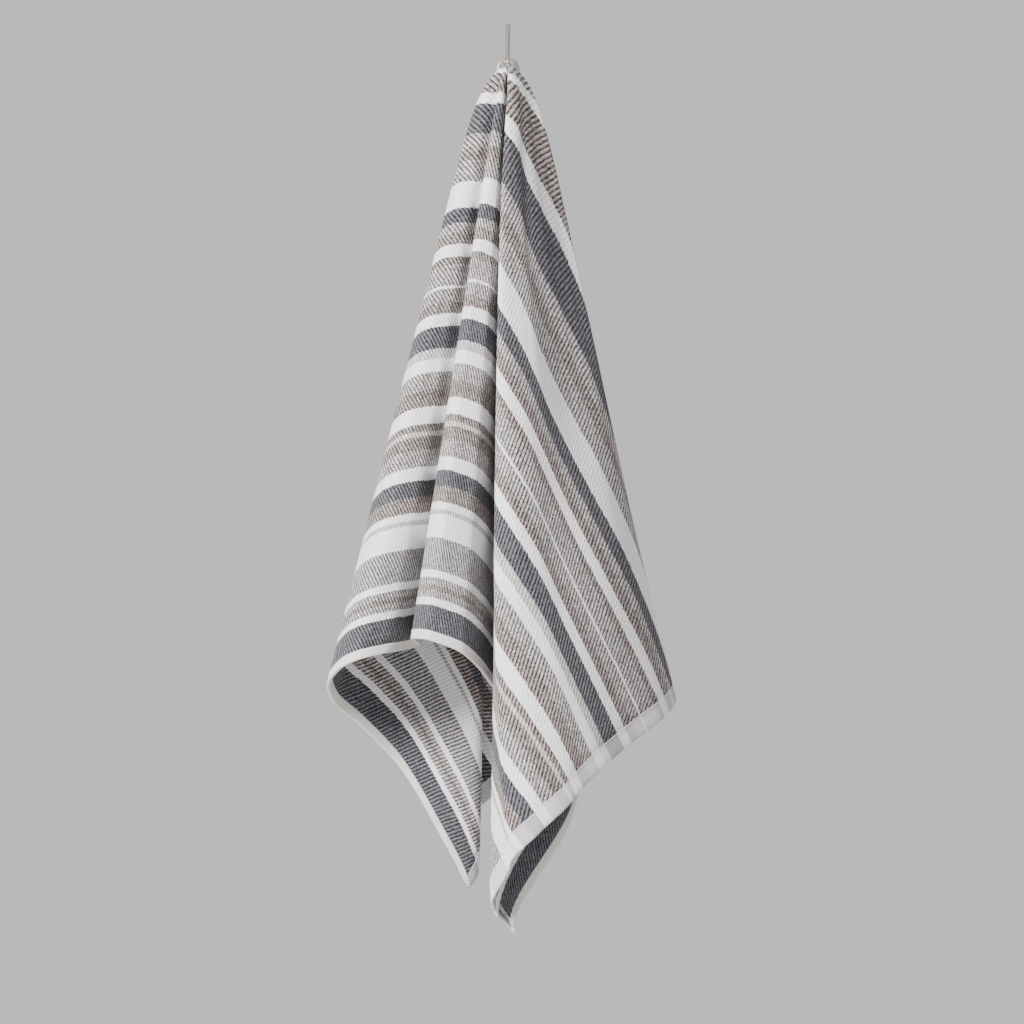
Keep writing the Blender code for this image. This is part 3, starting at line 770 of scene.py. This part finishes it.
def stitch_run(name, along, across, side, full, look, length=0.0030, gap=0.0011, radius=0.00042):
    """Single stitches along a hem, on both faces of the cloth."""
    ring = 6
    shape = ((-0.5, 0.25), (-0.36, 0.85), (0.0, 1.0), (0.36, 0.85), (0.5, 0.25))
    start, end = along
    starts = np.arange(start + 0.002, end - length - 0.001, length + gap)
    points = []
    faces = []
    for face_side in (1, -1):
        middle = starts + length / 2
        steps = []
        for where, size in shape:
            run = middle + where * length
            fixed = np.full_like(run, across)
            s, t = (run, fixed) if side == "s" else (fixed, run)
            point, normal = lies(s, t)
            steps.append((point, normal * face_side, size, np.hypot(s, t)))
        for k in range(len(starts)):
            base = len(points)
            way = steps[-1][0][k] - steps[0][0][k]
            way = way / max(np.linalg.norm(way), 1e-9)
            for n, (point, normal, size, reach) in enumerate(steps):
                up = normal[k]
                over = np.cross(way, up)
                rise = half_thick(reach[k], full) + radius * (0.55 - 0.9 * abs(shape[n][0]))
                for c in range(ring):
                    angle = 2 * math.pi * c / ring
                    points.append(
                        point[k]
                        + up * (rise + radius * size * math.sin(angle))
                        + over * (radius * size * 1.15 * math.cos(angle))
                    )
            for n in range(len(steps) - 1):
                for c in range(ring):
                    d = (c + 1) % ring
                    a = base + n * ring
                    faces.append((a + c, a + d, a + ring + d, a + ring + c))
            faces.append(tuple(base + c for c in reversed(range(ring))))
            faces.append(tuple(base + (len(steps) - 1) * ring + c for c in range(ring)))
    made = mesh_piece(name, points, faces, look)
    outward(made)
    return made


def build_cloth():
    pile = terry()
    cream = woven("side_hem_weave", CREAM)
    flat = woven("end_hem_weave")
    sewn = cotton_thread()
    towel = towel_body(pile)
    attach(towel, "towel")
    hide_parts("terry_body")
    extras = []
    for edge, inner, outer in (
        ("lower", T_LOWER - SIDE_HEM - HEM_LAP, T_LOWER),
        ("upper", T_UPPER + SIDE_HEM + HEM_LAP, T_UPPER),
    ):
        along = np.concatenate(
            [np.arange(S_LEFT, 0.0, HEM_STEP), np.arange(0.0, S_RIGHT, HEM_STEP), [S_RIGHT]]
        )
        band = hem_band(f"hem_side_{edge}", along, (inner, outer), "s", SIDE_HEM_THICK, cream)
        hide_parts(f"side_hem_{edge}")
        inset = inner + (outer - inner) * 0.20
        stitches = stitch_run(
            f"stitches_side_{edge}", (S_LEFT, S_RIGHT), inset, "s", SIDE_HEM_THICK * STITCH_SINK, sewn
        )
        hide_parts(f"seam_side_{edge}")
        extras += [band, stitches]
    for edge, inner, outer in (
        ("left", S_LEFT + END_HEM + HEM_LAP, S_LEFT),
        ("right", S_RIGHT - END_HEM - HEM_LAP, S_RIGHT),
    ):
        along = np.concatenate([np.arange(BODY[2], BODY[3], HEM_STEP), [BODY[3]]])
        band = hem_band(f"hem_end_{edge}", along, (inner, outer), "t", END_HEM_THICK, flat)
        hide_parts(f"end_hem_{edge}")
        inset = inner + (outer - inner) * 0.10
        stitches = stitch_run(
            f"stitches_end_{edge}", (BODY[2], BODY[3]), inset, "t", END_HEM_THICK * STITCH_SINK, sewn
        )
        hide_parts(f"seam_end_{edge}")
        extras += [band, stitches]
    for piece in extras:
        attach(piece, "towel")


def finish_hook():
    nickel = metal("brushed_nickel_plate", (0.56, 0.52, 0.46), 0.20, 0.42)
    zinc = metal("die_cast_zinc", (0.55, 0.55, 0.56), 0.40, 0.62, (600.0, 600.0, 600.0), 0.00010)
    steel = metal("screw_steel_plate", (0.50, 0.50, 0.52), 0.28, 0.50, (900.0, 300.0, 900.0))
    looks = {
        "rosette": nickel,
        "hook_stem": nickel,
        "upper_prong": nickel,
        "lower_prong": nickel,
        "wall_bracket": zinc,
        "wall_screw_left": steel,
        "wall_screw_right": steel,
        "set_screw": steel,
    }
    for name, look in looks.items():
        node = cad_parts[name]
        for slot in node.material_slots:
            slot.material = look
        for polygon in node.data.polygons:
            polygon.use_smooth = False


def light(name, stands_at, aim, size, power, colour=(1.0, 1.0, 1.0)):
    data = bpy.data.lights.new(name, "AREA")
    data.shape = "DISK"
    data.size = size
    data.energy = power
    data.color = colour
    obj = bpy.data.objects.new(name, data)
    obj.location = stands_at
    toward = Vector(aim) - Vector(stands_at)
    obj.rotation_euler = toward.to_track_quat("-Z", "Y").to_euler()
    bpy.context.scene.collection.objects.link(obj)


def plain_look(name, colour):
    """A matt surface for the stage."""
    look = Look(name)
    where = look.node("ShaderNodeTexCoord").outputs["Object"]
    soft = look.noise(where, 2.0, 2.0)
    look.colour(look.mix(soft, (*colour, 1.0), tuple(c * 0.97 for c in colour) + (1.0,)))
    return look.finish(Roughness=0.9)


def build_stage():
    data = bpy.data.meshes.new("floor")
    reach = 3.2
    level = -2.0
    corners = [(x * reach, y * reach, level) for x, y in ((-1, -1), (1, -1), (1, 1), (-1, 1))]
    data.from_pydata(corners, [], [(0, 1, 2, 3)])
    data.materials.append(plain_look("pale_floor", (0.62, 0.61, 0.61)))
    floor = bpy.data.objects.new("floor", data)
    bpy.context.scene.collection.objects.link(floor)

    world = bpy.data.worlds.new("studio")
    world.use_nodes = True
    back = world.node_tree.nodes["Background"]
    back.inputs[0].default_value = (0.740, 0.722, 0.730, 1.0)
    back.inputs[1].default_value = 1.0
    bpy.context.scene.world = world

    middle = (0.0, -0.10, -0.45)
    light("key", (-2.1, -2.6, 0.9), middle, 1.2, 340.0, (1.0, 0.99, 0.975))
    light("fill", (2.4, -2.4, 0.1), middle, 2.2, 12.0, (0.97, 0.985, 1.0))
    light("rear", (0.6, 2.6, 1.2), middle, 2.4, 26.0)

    data = bpy.data.cameras.new("camera")
    data.lens = 103.6
    data.sensor_width = 36.0
    data.clip_end = 60.0
    camera = bpy.data.objects.new("camera", data)
    camera.location = (0.0043, -3.280, -0.4915)
    camera.rotation_euler = (math.pi / 2, 0.0, 0.0)
    bpy.context.scene.collection.objects.link(camera)
    bpy.context.scene.camera = camera


build_stage()
finish_hook()
build_cloth()
